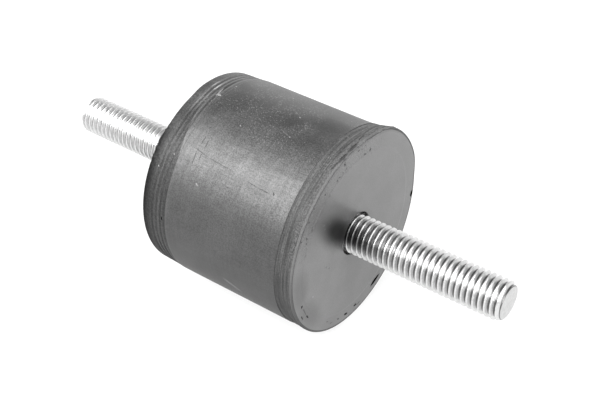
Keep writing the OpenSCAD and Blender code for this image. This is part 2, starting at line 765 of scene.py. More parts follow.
    def all(self) -> list[Mark]:
        """Every mark on the cushion.

        Returns:
            The marks on the wall, then those on the rear band and the face.
        """
        on_wall = self.scratches() + self.band_nicks_and_flash_shadows() + self.wall_clouds() + self.wall_flecks()
        on_face = self.face_painted_shadows() + self.face_flecks() + self.face_nicks()
        return on_wall + self.rear_scuffs() + on_face


@dataclass
class RubberBody:
    """Sizes of the moulded cushion: its outside, its end bands and its pockets for plates and heads."""

    half_len: float
    wall_r: float = 26.0
    side_depth: float = 1.4
    front_band_w: float = 5.1
    front_step: float = 0.15
    front_rim_out: float = 0.06
    front_rim_r: float = 0.4
    lip_w: float = 1.25
    lip_inset: float = 0.25
    lip_height: float = 0.10
    lip_half_share: float = 0.55
    lip_base: float = 0.5
    lip_rough: float = 0.35
    flash_height: float = 0.45
    flash_half: float = 0.22
    flash_inset: float = 0.1
    flash_base: float = 0.12
    flash_raise: float = 0.25
    torn_mean: float = 0.35
    torn_spread: float = 0.6
    crease_depth: float = 0.06
    crease_inset: float = 0.75
    far_flare: float = 0.95
    flare_lead: float = 2.5
    flare_end: float = 0.4
    flare_inset: float = 0.8
    rear_band_w: float = 7.8
    rear_step: float = 0.05
    rear_draw: float = 0.35
    rear_rim_r: float = 1.0
    rear_flat: float = 0.4
    flat_end: float = 0.8
    rear_rag: float = 0.16
    rag_inset: float = 0.6
    rag_half: float = 0.45
    rag_limits: Pair = (-1.0, 1.5)
    wall_wave: float = 0.02
    skin_t: float = 0.8
    hole_r: float = 5.6
    hole_edge_r: float = 0.15
    plate_t: float = 3.0
    plate_r: float = 22.02
    plate_print: float = 0.05
    plate_edge: float = 0.25
    face_margin: float = 1.0
    face_slack: float = 0.01
    head_r: float = 8.02
    head_t: float = 3.02
    groove_pitch: float = 1.3
    groove_lead: float = 1.6
    groove_half: float = 0.42
    groove_depth: float = 0.14
    groove_uneven: float = 0.3
    front_groove_shares: Pair = (0.35, 0.9)
    rear_groove_shares: tuple[float, ...] = (1.0, 1.0, 1.0)
    largest_r: float = 26.24
    rough_arc: Arc = Arc(-24.0, 54.0, 25.0)
    torn_arc: Arc = Arc(-54.0, 18.0, 14.0)
    flare_arc: Arc = Arc(-95.5, 19.5, 20.0)
    flat_arc: Arc = Arc(-23.0, 9.0, 12.0)
    ragged_arc: Arc = Arc(-1.0, 10.0, 5.0)
    groove_noise: RingNoise = RingNoise(1, 12, 3)
    lip_noise: RingNoise = RingNoise(20, 120, 11)
    torn_noise: RingNoise = RingNoise(9, 60, 23)
    ragged_noise: RingNoise = RingNoise(40, 150, 31)
    wave_noise: RingNoise = RingNoise(2, 6, 41)
    wall_margin: float = 1.2
    wall_count: int = 12
    columns: int = 450

    @property
    def inner_face_r(self) -> float:
        """Radius inside which the face has few rings and no flare."""
        return self.plate_r - self.face_margin

    @property
    def front_band_x(self) -> float:
        """X at which the front band starts."""
        return self.half_len - self.front_band_w

    @property
    def rear_band_x(self) -> float:
        """X at which the rear band starts."""
        return self.rear_band_w - self.half_len

    def end_profile(self, start: Pair, rim_outer: float, rim_r: float,
                    band_points: int, face_points: int) -> tuple[np.ndarray, np.ndarray]:
        """Outline of one end, from the start of its band out to the face and in to the pocket's pole.

        The band slopes to the rim, a quarter circle rounds into the flat face, and the face runs in
        to the ring round the stud. Behind the skin the outline follows the plate and the stud head.

        Args:
            start: Distance from the middle and radius where the band starts.
            rim_outer: Outside radius of the rim.
            rim_r: Rounding of the rim.
            band_points: Rings on the band.
            face_points: Rings on the outer part of the face.

        Returns:
            Distance from the middle along the axis, and radius, of each point.
        """
        outline = Profile()
        round_x = self.half_len - rim_r
        edge = self.hole_edge_r
        plate_top = self.half_len - self.skin_t
        plate_bottom = plate_top - self.plate_t
        head_bottom = plate_bottom - self.head_t
        outline.line(start, (round_x, rim_outer), band_points)
        outline.arc((round_x, rim_outer - rim_r), rim_r, 90.0, 0.0, 9)
        outline.line((self.half_len, rim_outer - rim_r), (self.half_len, self.inner_face_r), face_points)
        outline.line((self.half_len, self.inner_face_r), (self.half_len, self.hole_r + edge), 8)
        outline.arc((self.half_len - edge, self.hole_r + edge), edge, 0.0, -90.0, 3)
        outline.line((self.half_len - edge, self.hole_r), (plate_top, self.hole_r), 3)
        outline.line((plate_top, self.hole_r), (plate_top, self.plate_r), 2)
        outline.line((plate_top, self.plate_r), (plate_bottom, self.plate_r), 1)
        outline.line((plate_bottom, self.plate_r), (plate_bottom, self.head_r), 2)
        outline.line((plate_bottom, self.head_r), (head_bottom, self.head_r), 1)
        outline.line((head_bottom, self.head_r), (head_bottom, 0.0), 2)
        return outline.arrays()

    def wall_rings(self) -> np.ndarray:
        """X of the rings on the plain wall, close together beside each band.

        Returns:
            X from front to rear.
        """
        beside = np.array([0.03, 0.07, 0.15, 0.3, 0.6])
        first = self.front_band_x - self.wall_margin
        middle = np.linspace(first, self.rear_band_x + self.wall_margin, self.wall_count)
        return np.concatenate([self.front_band_x - beside, middle, self.rear_band_x + beside[::-1]])

    def outline(self) -> tuple[np.ndarray, np.ndarray]:
        """Outline from the front pocket's pole over both faces and the wall to the rear pocket's pole.

        Returns:
            X and radius of each ring.
        """
        front_start = (self.front_band_x, self.wall_r - self.front_step)
        rear_start = (-self.rear_band_x, self.wall_r - self.rear_step)
        front_rim = self.wall_r + self.front_rim_out
        rear_rim = self.wall_r - self.rear_draw
        front_x, front_r = self.end_profile(front_start, front_rim, self.front_rim_r, 44, 30)
        rear_x, rear_r = self.end_profile(rear_start, rear_rim, self.rear_rim_r, 52, 4)
        wall_x = self.wall_rings()
        wall_r = np.full(wall_x.size, self.wall_r)
        outline_x = np.concatenate([front_x[::-1], wall_x, -rear_x])
        return outline_x, np.concatenate([front_r[::-1], wall_r, rear_r])

    def build(self) -> bpy.types.Object:
        """Make the cushion's mesh."""
        surface = CushionSurface(self)
        return revolve("rubber_cushion", surface.along(), surface.radius(), surface.angles)

    def dress(self, piece: bpy.types.Object) -> None:
        """Give the cushion its rubber."""
        marks = CushionMarks(self.half_len, self.wall_r).all()
        piece.data.materials.append(RubberShader(self, RubberFinish(), marks).material)


class CushionSurface:
    """The cushion's surface on a grid of rings by angles, put together form by form.

    Each form is a share of the rings times a share of the angles. Lip, flash, grooves and rims are
    bells or smooth steps along the outline, and arcs and noise round the axis.
    """

    def __init__(self, body: RubberBody) -> None:
        """Lay out the rings and the angles.

        Args:
            body: Sizes of the cushion.
        """
        self.body = body
        self.angles = even_turn(body.columns)
        self.x, self.r = body.outline()
        self.on_side = self.r > body.wall_r - body.side_depth
        at_front = self.x > body.half_len - body.face_slack
        self.on_front = at_front & (self.r > body.hole_r + body.face_margin)
        self.rough_arc = body.rough_arc.share(self.angles)

    def side(self, share: np.ndarray) -> np.ndarray:
        """A share of the rings kept on the side, as a column."""
        return np.where(self.on_side, share, 0.0)[:, None]

    def front(self, share: np.ndarray) -> np.ndarray:
        """A share of the rings kept on the front face, as a column."""
        return np.where(self.on_front, share, 0.0)[:, None]

    def band_grooves(self, depth_along: np.ndarray, shares: tuple[float, ...]) -> np.ndarray:
        """Depth of the ring grooves on a band: bells in section, groove_pitch from one to the next.

        Args:
            depth_along: Distance of each ring from the start of the band.
            shares: Share of the full depth that each groove has.

        Returns:
            Depth at each ring, as a column.
        """
        centres = self.body.groove_lead + self.body.groove_pitch * np.arange(len(shares))
        bells = bell(depth_along[:, None], centres, self.body.groove_half)
        return self.side((self.body.groove_depth * bells * np.array(shares)).sum(axis=1))

    def grooves(self) -> np.ndarray:
        """Depth of all ring grooves, which a slow noise of the angle makes uneven.

        Returns:
            Millimetres for each ring and column.
        """
        body = self.body
        uneven = 1.0 + body.groove_uneven * body.groove_noise.values(self.angles)
        front = self.band_grooves(self.x - body.front_band_x, body.front_groove_shares)
        rear = self.band_grooves(body.rear_band_x - self.x, body.rear_groove_shares)
        return front * uneven + rear * np.roll(uneven, body.columns // 5)

    def lip(self) -> np.ndarray:
        """Height of the lip along the front rim, low all round and rough on the rough arc.

        Returns:
            Millimetres for each ring and column.
        """
        body = self.body
        middle = body.half_len - body.lip_inset - body.lip_w / 2.0
        share = self.side(bell(self.x, middle, body.lip_w * body.lip_half_share))
        rough = 1.0 - body.lip_base + body.lip_rough * body.lip_noise.values(self.angles)
        return share * body.lip_height * (body.lip_base + self.rough_arc * rough)

    def flash(self) -> np.ndarray:
        """How far the torn flash reaches forward from the front rim's edge.

        Returns:
            Millimetres for each ring and column.
        """
        body = self.body
        from_rim = np.hypot(self.x - body.half_len, self.r - body.wall_r + body.flash_inset)
        line = np.where(self.on_front | self.on_side, bell(from_rim, 0.0, body.flash_half), 0.0)[:, None]
        torn = np.clip(body.torn_mean + body.torn_spread * body.torn_noise.values(self.angles), 0.0, 1.0)
        reach = body.flash_base * self.rough_arc + body.torn_arc.share(self.angles) * torn
        return line * body.flash_height * reach

    def face_sink(self) -> np.ndarray:
        """How far the front face sinks past the edge of its plate, and in a crease inside the rim.

        Returns:
            Millimetres for each ring and column.
        """
        body = self.body
        beyond = smooth_step(self.r, body.plate_r - body.plate_edge, body.plate_r + body.plate_edge)
        crease = self.front(bell(self.r, body.wall_r - body.crease_inset, body.flash_half))
        return self.front(beyond) * body.plate_print + crease * body.crease_depth * self.rough_arc

    def rear_rim(self) -> np.ndarray:
        """Change of the rear rim's radius: ragged on one arc, and flattened on another.

        Returns:
            Millimetres for each ring and column.
        """
        body = self.body
        edge = self.side(bell(-self.x, body.half_len - body.rag_inset, body.rag_half))
        slope = self.side(smooth_step(-self.x, -body.rear_band_x, body.half_len - body.flat_end))
        ragged = np.clip(body.ragged_noise.values(self.angles), *body.rag_limits)
        ragged = edge * body.rear_rag * body.ragged_arc.share(self.angles) * ragged
        return ragged - slope * body.rear_flat * body.flat_arc.share(self.angles)

    def flare(self) -> np.ndarray:
        """How far the front end flares out on its far side, rising along the wall and the face.

        Returns:
            Millimetres for each ring and column.
        """
        body = self.body
        first_x = body.front_band_x - body.flare_lead
        along = self.side(smooth_step(self.x, first_x, body.half_len - body.flare_end))
        across = self.front(smooth_step(self.r, body.inner_face_r, body.wall_r - body.flare_inset))
        return np.maximum(along, across) * body.far_flare * body.flare_arc.share(self.angles)

    def along(self) -> np.ndarray:
        """X of the grid."""
        return self.x[:, None] + self.flash() - self.face_sink()

    def radius(self) -> np.ndarray:
        """Radius of the grid, held inside the square room that the part's box leaves.

        Returns:
            Millimetres for each ring and column.
        """
        body = self.body
        wavy = body.wall_wave * (body.wave_noise.values(self.angles) - 1.0)
        raised = self.lip() + body.flash_raise * self.flash() + self.rear_rim() + self.flare()
        radius = self.r[:, None] - self.grooves() + raised + np.where(self.on_side[:, None], wavy, 0.0)
        room = body.largest_r / np.maximum(np.abs(np.cos(self.angles)), np.abs(np.sin(self.angles)))
        return np.minimum(radius, room)


@dataclass(frozen=True)
class RubberTextures:
    """The noises on the rubber: even ones from broad to fine, then drawn-out ones."""

    cloud: Texture = Texture((0.13, 0.13, 0.13), 4.0)
    patch: Texture = Texture((0.3, 0.3, 0.3), 3.0)
    pit: Texture = Texture((1.2, 1.2, 1.2), 2.0)
    fleck: Texture = Texture((1.4, 1.4, 1.4), 1.0)
    crumb: Texture = Texture((2.4, 2.4, 2.4), 3.0)
    speck: Texture = Texture((2.8, 2.8, 2.8), 1.0)
    grain: Texture = Texture((3.4, 3.4, 3.4), 3.0)
    wisp: Texture = Texture((0.5, 0.22, 0.22), 5.0)
    broad_streak: Texture = Texture((1.3, 0.06, 0.06), 2.0)
    fine_streak: Texture = Texture((4.2, 0.10, 0.10), 3.0)
    round_rub: Texture = Texture((1.5, 0.10, 0.10), 3.0)
    long_rub: Texture = Texture((0.10, 1.3, 1.3), 3.0)


@dataclass(frozen=True)
class RubberFinish:
    """Satin moulded rubber with ring streaks on its bands and small marks, and painted light and shade on
    its bands, rims and face.

    A shade is the share of light given back, gloss is the strength of the mirror, an arc is where on
    the turn a change lies, and a swing is how far a noise moves what it is named after.
    """

    textures: RubberTextures = RubberTextures()
    wall_shade: float = 0.022
    front_band_shade: float = 0.030
    # Painted light on the upper side of the front band.
    front_top_light_shade: float = 0.038
    rear_band_shade: float = 0.010
    # Painted light on the upper side of the rear band.
    rear_top_light_shade: float = 0.032
    face_shade: float = 0.06
    lip_shade: float = 0.068
    # Painted light on the front rim's rounding.
    rim_light_shade: float = 0.09
    rim_light_share: float = 0.8
    dust_shade: float = 0.05
    dust_share: float = 0.22
    speck_shade: float = 0.085
    dull_and_shadow_mark_shade: float = 0.006
    dark_mark_shade: float = 0.004
    light_mark_shade: float = 0.38
    # Painted highlight where the rear band starts.
    rear_edge_highlight_gain: float = 1.35
    # Painted shade on the rear band's outer edge, full below and weak on its upper side.
    rear_edge_shading: float = 0.95
    rear_top_edge_shading: float = 0.15
    wall_roughness: float = 0.46
    band_roughness: float = 0.55
    face_roughness: float = 0.34
    rim_roughness: float = 0.75
    mark_roughness: float = 0.85
    wall_gloss: float = 0.215
    front_band_gloss: float = 0.075
    rear_band_gloss: float = 0.145
    face_gloss: float = 0.64
    rim_gloss_gain: float = 0.7
    # Less gloss as painted shade: on the rear edge, the underside and the upper side.
    rear_edge_shade_gloss_loss: float = 0.7
    underside_shade_gloss_loss: float = 0.55
    upper_shade_gloss_loss: float = 0.2
    wall_sparkle: float = 0.20
    handled_sparkle: float = 0.36
    face_sparkle: float = 0.02
    plain_rub: float = 0.4
    refraction: float = 1.9
    face_edge: Pair = (-0.22, -0.06)
    rim_edge: Pair = (-0.6, -0.4)
    rim_width: Pair = (-0.7, -0.4)
    front_band_edge: float = 0.08
    rear_band_edge: float = 0.12
    rear_band_recess: float = 2.6
    lip_strip: Pair = (-1.8, 0.6)
    lip_edge: float = 0.25
    worn_inset: float = 1.0
    worn_edge: float = 1.2
    rear_edge: Pair = (0.4, 3.4)
    ring_turns: Pair = (-2.4, 0.4)
    ring_edge: float = 0.2
    rear_edge_highlight: Pair = (0.15, 0.5)
    rear_edge_highlight_fade: float = 0.15
    sparkle_grain: Pair = (0.32, 0.68)
    mark_depth: float = 2.0
    mark_shake: float = 0.35
    shake_waves: float = 2.0
    relief_mm: float = 0.05
    rough_relief: float = 0.8
    skin_relief: float = 0.35
    skin_streak_relief: float = 0.12
    lip_relief: float = 2.0
    mark_relief: float = 2.5
    recess_arc: Arc = Arc(-90.0, 60.0, 36.9)
    # Arcs of the painted light on the bands' upper sides, and of the weaker painted edge shade there.
    rear_top_light_arc: Arc = Arc(-90.0, 56.6, 14.1)
    outer_upper_arc: Arc = Arc(-90.0, 74.9, 10.5)
    front_top_light_arc: Arc = Arc(-45.0, 18.2, 20.5)
    rim_arc: Arc = Arc(-22.0, 34.9, 21.7)
    dusty_and_shaded_arc: Arc = Arc(-62.0, 18.2, 38.4)
    handled_arc: Arc = Arc(-12.0, 14.1, 16.6)
    underside_arc: Arc = Arc(90.0, 0.0, 45.6)
    cloud_shade: Swing = Swing(0.3, 0.7, 0.86, 1.14)
    grain_shade: Swing = Swing(0.3, 0.7, 0.82, 1.18)
    fine_streak_shade: Swing = Swing(0.3, 0.7, 0.68, 1.32)
    broad_streak_shade: Swing = Swing(0.32, 0.68, 0.72, 1.28)
    crumb_shade: Swing = Swing(0.36, 0.64, 0.84, 1.16)
    # Painted shade in the rear grooves and painted light on their ridges.
    groove_shade_and_ridge_light: Swing = Swing(-1.0, 1.0, 1.6, 0.5)
    dust_wisp: Swing = Swing(0.5, 0.72, 0.0, 1.0)
    dust_grain: Swing = Swing(0.42, 0.6, 0.2, 1.0)
    speck_cloud: Swing = Swing(0.42, 0.58, 0.15, 1.0)
    speck_spot: Swing = Swing(0.60, 0.69, 0.0, 1.0)
    fleck_spot: Swing = Swing(0.80, 0.84, 0.0, 0.2)
    pit_spot: Swing = Swing(0.64, 0.72, 0.0, 0.8)
    lip_crumb: Swing = Swing(0.42, 0.6, 0.0, 1.0)
    grain_roughness: Swing = Swing(0.3, 0.7, -0.06, 0.06)
    round_rub_gloss: Swing = Swing(0.3, 0.7, 0.88, 1.12)
    long_rub_gloss: Swing = Swing(0.3, 0.7, 0.9, 1.1)
    patch_gloss: Swing = Swing(0.3, 0.7, 0.88, 1.12)
    rear_crumb_gloss: Swing = Swing(0.36, 0.64, 0.8, 1.24)
    face_crumb_gloss: Swing = Swing(0.38, 0.62, 0.66, 1.12)


class RubberShader(Shader):
    """The rubber's nodes: first where its zones, wear, painted light and shade, and marks lie, then what
    each of them does.
    """

    def __init__(self, body: RubberBody, finish: RubberFinish, marks: list[Mark]) -> None:
        """Make the whole material.

        Args:
            body: Sizes of the cushion.
            finish: How its rubber looks.
            marks: What the rubber has picked up.
        """
        super().__init__("satin_rubber")
        self.body = body
        self.finish = finish
        self.find_axis()
        self.find_zones()
        self.find_textures()
        self.find_front_wear()
        self.find_rear_edge_shade()
        self.find_marks(marks)
        shade = self.worn_and_painted_shade(self.painted_groove_and_edge_shade(self.textured_shade(self.zone_shade())))
        self.give(Base_Color=self.grey(shade), Roughness=self.roughness(), IOR=finish.refraction)
        self.give(Specular_IOR_Level=self.worn_and_shaded_gloss(self.zone_gloss()))
        self.bump(self.relief(), finish.relief_mm)

    def find_zones(self) -> None:
        """Part the surface into the flat faces, the skin round them and the two bands on the skin."""
        body = self.body
        finish = self.finish
        from_end = self.math("SUBTRACT", self.math("ABSOLUTE", self.x), body.half_len)
        at_end = self.rise(from_end, *finish.face_edge)
        flared = self.product(self.over(body.flare_arc), body.far_flare)
        unflared = self.math("SUBTRACT", self.radius, flared)
        from_wall = self.math("SUBTRACT", unflared, body.wall_r)
        inside_rim = self.fall(from_wall, *finish.rim_edge)
        self.face = self.product(at_end, inside_rim)
        self.skin = self.rest(self.face)
        recess = self.product(self.over(finish.recess_arc), finish.rear_band_recess)
        self.receding = self.math("ADD", self.x, recess)
        front_edge = finish.front_band_edge
        rear_edge = finish.rear_band_edge
        past_front = self.rise(self.x, body.front_band_x - front_edge, body.front_band_x + front_edge)
        past_rear = self.fall(self.receding, body.rear_band_x - rear_edge, body.rear_band_x + rear_edge)
        self.front_band = self.product(past_front, self.skin)
        self.rear_band = self.product(past_rear, self.skin)
        self.band = self.larger(self.front_band, self.rear_band)

    def find_textures(self) -> None:
        """Make the noises and arcs that are used more than once."""
        textures = self.finish.textures
        self.grain = self.texture(textures.grain)
        self.cloud = self.texture(textures.cloud)
        self.crumb = self.texture(textures.crumb)
        self.fine_streak = self.texture(textures.fine_streak)
        self.dusty_and_shaded_top = self.over(self.finish.dusty_and_shaded_arc)
        self.handled = self.over(self.finish.handled_arc)
        # Upper side of the rear band, where painted light raises its shade and gloss.
        self.rear_top_light = self.over(self.finish.rear_top_light_arc)

    def find_front_wear(self) -> None:
        """Find the crumbled lip, the rim's edge and the worn strip of the front face inside it."""
        body = self.body
        finish = self.finish
        rim_side = self.over(finish.rim_arc)
        from_face = self.math("SUBTRACT", self.x, body.half_len)
        lip_strip = self.between(from_face, *finish.lip_strip, finish.lip_edge)
        worn_r = body.wall_r - finish.worn_inset
        worn_strip = self.between(self.radius, body.plate_r, worn_r, finish.worn_edge)
        self.lip_grain = self.swing(self.crumb, finish.lip_crumb)
        self.lip = self.product(lip_strip, rim_side, self.skin, self.lip_grain)
        self.rim = self.product(self.skin, self.rise(from_face, *finish.rim_width))
        self.worn_face = self.product(self.face, rim_side, worn_strip)

    def find_rear_edge_shade(self) -> None:
        """Find the painted shade on the rear band's outer edge, which is weak on its upper side."""
        finish = self.finish
        # Painted shade on the rear rim's edge, strongest on its lower side.
        outer = self.fall(self.math("ADD", self.x, self.body.half_len), *finish.rear_edge)
        upper_side = self.over(finish.outer_upper_arc)
        dullness = self.blend(upper_side, finish.rear_edge_shading, finish.rear_top_edge_shading)
        self.shaded_rear_edge = self.product(outer, self.rear_band, dullness)

    def find_marks(self, marks: list[Mark]) -> None:
        """Gather the marks by tone on a slightly shaken place, with pits and flecks of noise.

        Args:
            marks: All marks on the rubber.
        """
        finish = self.finish
        shake = self.node("TexNoise")
        self.feed(shake.inputs["Vector"], self.place)
        self.feed(shake.inputs["Scale"], finish.shake_waves)
        shaken = self.added(self.place, self.scaled(shake.outputs["Color"], (finish.mark_shake,) * 3))
        shaken = self.added(shaken, (-finish.mark_shake / 2.0,) * 3)
        strength = {tone: 0.0 for tone in Tone}
        for mark in marks:
            strength[mark.tone] = self.larger(strength[mark.tone], self.marked(shaken, mark))
        pit = self.swing(self.texture(finish.textures.pit), finish.pit_spot)
        fleck = self.swing(self.texture(finish.textures.fleck), finish.fleck_spot)
        self.dark = self.larger(strength[Tone.DARK], self.product(pit, self.worn_face))
        self.light = self.larger(strength[Tone.LIGHT], fleck)
        # Dull marks; those on the face are painted shadow and reflection of the stud.
        self.dulled_and_shaded = strength[Tone.DULL]

    def marked(self, place: Socket, mark: Mark) -> Socket:
        """Strength of one mark: full at its middle, falling smoothly to zero at its edge.

        Args:
            place: Place on the object in millimetres.
            mark: The mark.

        Returns:
            The strength as a socket.
        """
        centre, axes = mark.placing()
        local = self.node("Mapping", vector_type="TEXTURE")
        self.feed(local.inputs["Vector"], place)
        self.feed(local.inputs["Location"], centre)
        self.feed(local.inputs["Rotation"], axes.to_euler())
        self.feed(local.inputs["Scale"], (mark.length() / 2, mark.width / 2, self.finish.mark_depth))
        ball = self.node("TexGradient", gradient_type="SPHERICAL")
        self.feed(ball.inputs["Vector"], local.outputs["Vector"])
        return self.spread(ball.outputs["Fac"], 0.0, mark.tone.softness, 0.0, mark.strength)

    def zone_shade(self) -> Socket:
        """Plain shade of each zone, with painted light on the upper side of both bands.

        Returns:
            The value as a socket.
        """
        finish = self.finish
        # Painted light: both bands are lighter on their upper side.
        upper_side = self.over(finish.front_top_light_arc)
        front = self.blend(upper_side, finish.front_band_shade, finish.front_top_light_shade)
        rear = self.blend(self.rear_top_light, finish.rear_band_shade, finish.rear_top_light_shade)
        shade = self.blend(self.front_band, finish.wall_shade, front)
        shade = self.blend(self.rear_band, shade, rear)
        return self.blend(self.face, shade, finish.face_shade)

    def textured_shade(self, shade: Socket) -> Socket:
        """A shade with clouds and grain all over, streaks and crumbs on the bands and painted shade on the
        rear edge.

        Args:
            shade: The shade so far.

        Returns:
            The value as a socket.
        """
        finish = self.finish
        broad_streak = self.texture(finish.textures.broad_streak)
        cloudy = self.swing(self.cloud, finish.cloud_shade)
        grainy = self.swing(self.grain, finish.grain_shade)
        fine = self.swing(self.fine_streak, finish.fine_streak_shade)
        broad = self.swing(broad_streak, finish.broad_streak_shade)
        crumbled = self.swing(self.crumb, finish.crumb_shade)
        shade = self.product(shade, cloudy, grainy)
        shade = self.gained(shade, self.band, self.product(fine, broad))
        shade = self.gained(shade, self.band, crumbled)
        # Painted shade on the rear edge.
        return self.product(shade, self.rest(self.shaded_rear_edge))

    def painted_groove_and_edge_shade(self, shade: Socket) -> Socket:
        """A shade with painted shade in the rear grooves, painted light on their ridges, and a painted
        highlight where the rear band starts, except on its upper side.

        Args:
            shade: The shade so far.

        Returns:
            The value as a socket.
        """
        body = self.body
        finish = self.finish
        # Painted shade in the groove bottoms and painted light on the ridges.
        from_first = self.math("SUBTRACT", self.x, body.rear_band_x - body.groove_lead)
        turns = self.math("DIVIDE", from_first, body.groove_pitch)
        ring = self.math("COSINE", self.product(turns, FULL_TURN))
        ringed = self.between(turns, *finish.ring_turns, finish.ring_edge)
        shade = self.gained(shade, ringed, self.swing(ring, finish.groove_shade_and_ridge_light))
        # Painted highlight along the start of the rear band, except on its upper side.
        from_band = self.math("SUBTRACT", self.receding, body.rear_band_x)
        line = self.between(from_band, *finish.rear_edge_highlight, finish.rear_edge_highlight_fade)
        return self.gained(shade, self.product(line, self.rest(self.rear_top_light)), finish.rear_edge_highlight_gain)

    def worn_and_painted_shade(self, shade: Socket) -> Socket:
        """A shade with the pale lip, painted light on the rim's rounding, dust and specks on the upper
        side, and the marks, some of them painted shadows.

        Args:
            shade: The shade so far.

        Returns:
            The value as a socket.
        """
        finish = self.finish
        wisp = self.swing(self.texture(finish.textures.wisp), finish.dust_wisp)
        speck = self.swing(self.texture(finish.textures.speck), finish.speck_spot)
        dust = self.product(self.dusty_and_shaded_top, wisp, self.swing(self.grain, finish.dust_grain), finish.dust_share)
        specks = self.product(speck, self.skin, self.dusty_and_shaded_top, self.swing(self.cloud, finish.speck_cloud))
        shade = self.blend(self.lip, shade, finish.lip_shade)
        # Painted light on the rim's rounding.
        shade = self.blend(self.product(self.rim, finish.rim_light_share), shade, finish.rim_light_shade)
        shade = self.blend(dust, shade, finish.dust_shade)
        shade = self.blend(specks, shade, finish.speck_shade)
        shade = self.blend(self.dulled_and_shaded, shade, finish.dull_and_shadow_mark_shade)
        shade = self.blend(self.dark, shade, finish.dark_mark_shade)
        return self.blend(self.light, shade, finish.light_mark_shade)

    def roughness(self) -> Socket:
        """Roughness of each zone with its grain, and of the torn rim and the dark marks.

        Returns:
            The value as a socket.
        """
        finish = self.finish
        rough = self.blend(self.band, finish.wall_roughness, finish.band_roughness)
        rough = self.blend(self.face, rough, finish.face_roughness)
        grainy = self.product(self.skin, self.swing(self.grain, finish.grain_roughness))
        rough = self.math("ADD", rough, grainy)
        rough = self.larger(rough, self.product(self.dark, finish.mark_roughness))
        return self.larger(rough, self.product(self.larger(self.lip, self.rim), finish.rim_roughness))

    def zone_gloss(self) -> Socket:
        """Plain gloss of each zone.

        Returns:
            The value as a socket.
        """
        finish = self.finish
        rear = self.blend(self.rear_top_light, finish.rear_band_gloss, finish.wall_gloss)
        gloss = self.blend(self.front_band, finish.wall_gloss, finish.front_band_gloss)
        gloss = self.blend(self.rear_band, gloss, rear)
        return self.blend(self.face, gloss, finish.face_gloss)

    def sparkle(self) -> Socket:
        """Gain of the gloss by the grain: strongest where the wall was handled, faint on the face.

        Returns:
            The value as a socket.
        """
        finish = self.finish
        amount = self.blend(self.handled, finish.wall_sparkle, finish.handled_sparkle)
        amount = self.blend(self.face, amount, finish.face_sparkle)
        most = self.math("ADD", 1.0, amount)
        return self.spread(self.grain, *finish.sparkle_grain, self.rest(amount), most)

    def rubbing(self) -> Socket:
        """Gain of the gloss by rubbing on the plain wall: round it, along it and in patches.

        Returns:
            The value as a socket.
        """
        finish = self.finish
        around = self.swing(self.texture(finish.textures.round_rub), finish.round_rub_gloss)
        along = self.swing(self.texture(finish.textures.long_rub), finish.long_rub_gloss)
        patchy = self.swing(self.texture(finish.textures.patch), finish.patch_gloss)
        plain_wall = self.math("SUBTRACT", self.skin, self.band)
        share = self.product(plain_wall, self.blend(self.handled, finish.plain_rub, 1.0))
        return self.blend(share, 1.0, self.product(around, along, patchy))

    def worn_and_shaded_gloss(self, gloss: Socket) -> Socket:
        """A gloss with sparkle, rubbing and crumbs, less of it on the rim and the dark and dull marks, and
        less of it as painted shade on the rear edge, the underside and the upper side.

        Args:
            gloss: The plain gloss.

        Returns:
            The value as a socket.
        """
        finish = self.finish
        gloss = self.product(gloss, self.sparkle(), self.rubbing())
        gloss = self.gained(gloss, self.rear_band, self.swing(self.crumb, finish.rear_crumb_gloss))
        gloss = self.gained(gloss, self.worn_face, self.swing(self.crumb, finish.face_crumb_gloss))
        gloss = self.gained(gloss, self.rim, finish.rim_gloss_gain)
        # Painted shade: less gloss on the underside and the upper side.
        shaded_underside = self.product(self.over(finish.underside_arc), finish.underside_shade_gloss_loss)
        gloss_shading = self.math("ADD", shaded_underside, self.product(self.dusty_and_shaded_top, finish.upper_shade_gloss_loss))
        shaded_rear_edge = self.product(self.shaded_rear_edge, finish.rear_edge_shade_gloss_loss)
        for lost in (shaded_rear_edge, self.product(self.skin, gloss_shading), self.dulled_and_shaded, self.dark):
            gloss = self.product(gloss, self.rest(lost))
        return gloss

    def relief(self) -> Socket:
        """Height of the fine relief: grain, streaks, the crumbled lip and the sunken marks.

        Returns:
            The value as a socket.
        """
        finish = self.finish
        grainy_skin = self.product(self.skin, finish.skin_relief)
        grain_share = self.blend(self.worn_face, grainy_skin, finish.rough_relief)
        streaked_skin = self.product(self.skin, finish.skin_streak_relief)
        streak_share = self.blend(self.band, streaked_skin, finish.rough_relief)
        height = self.product(self.grain, grain_share)
        height = self.math("ADD", height, self.product(self.fine_streak, streak_share))
        height = self.math("ADD", height, self.product(self.lip_grain, self.lip, finish.lip_relief))
        return self.math("SUBTRACT", height, self.product(self.dark, finish.mark_relief))


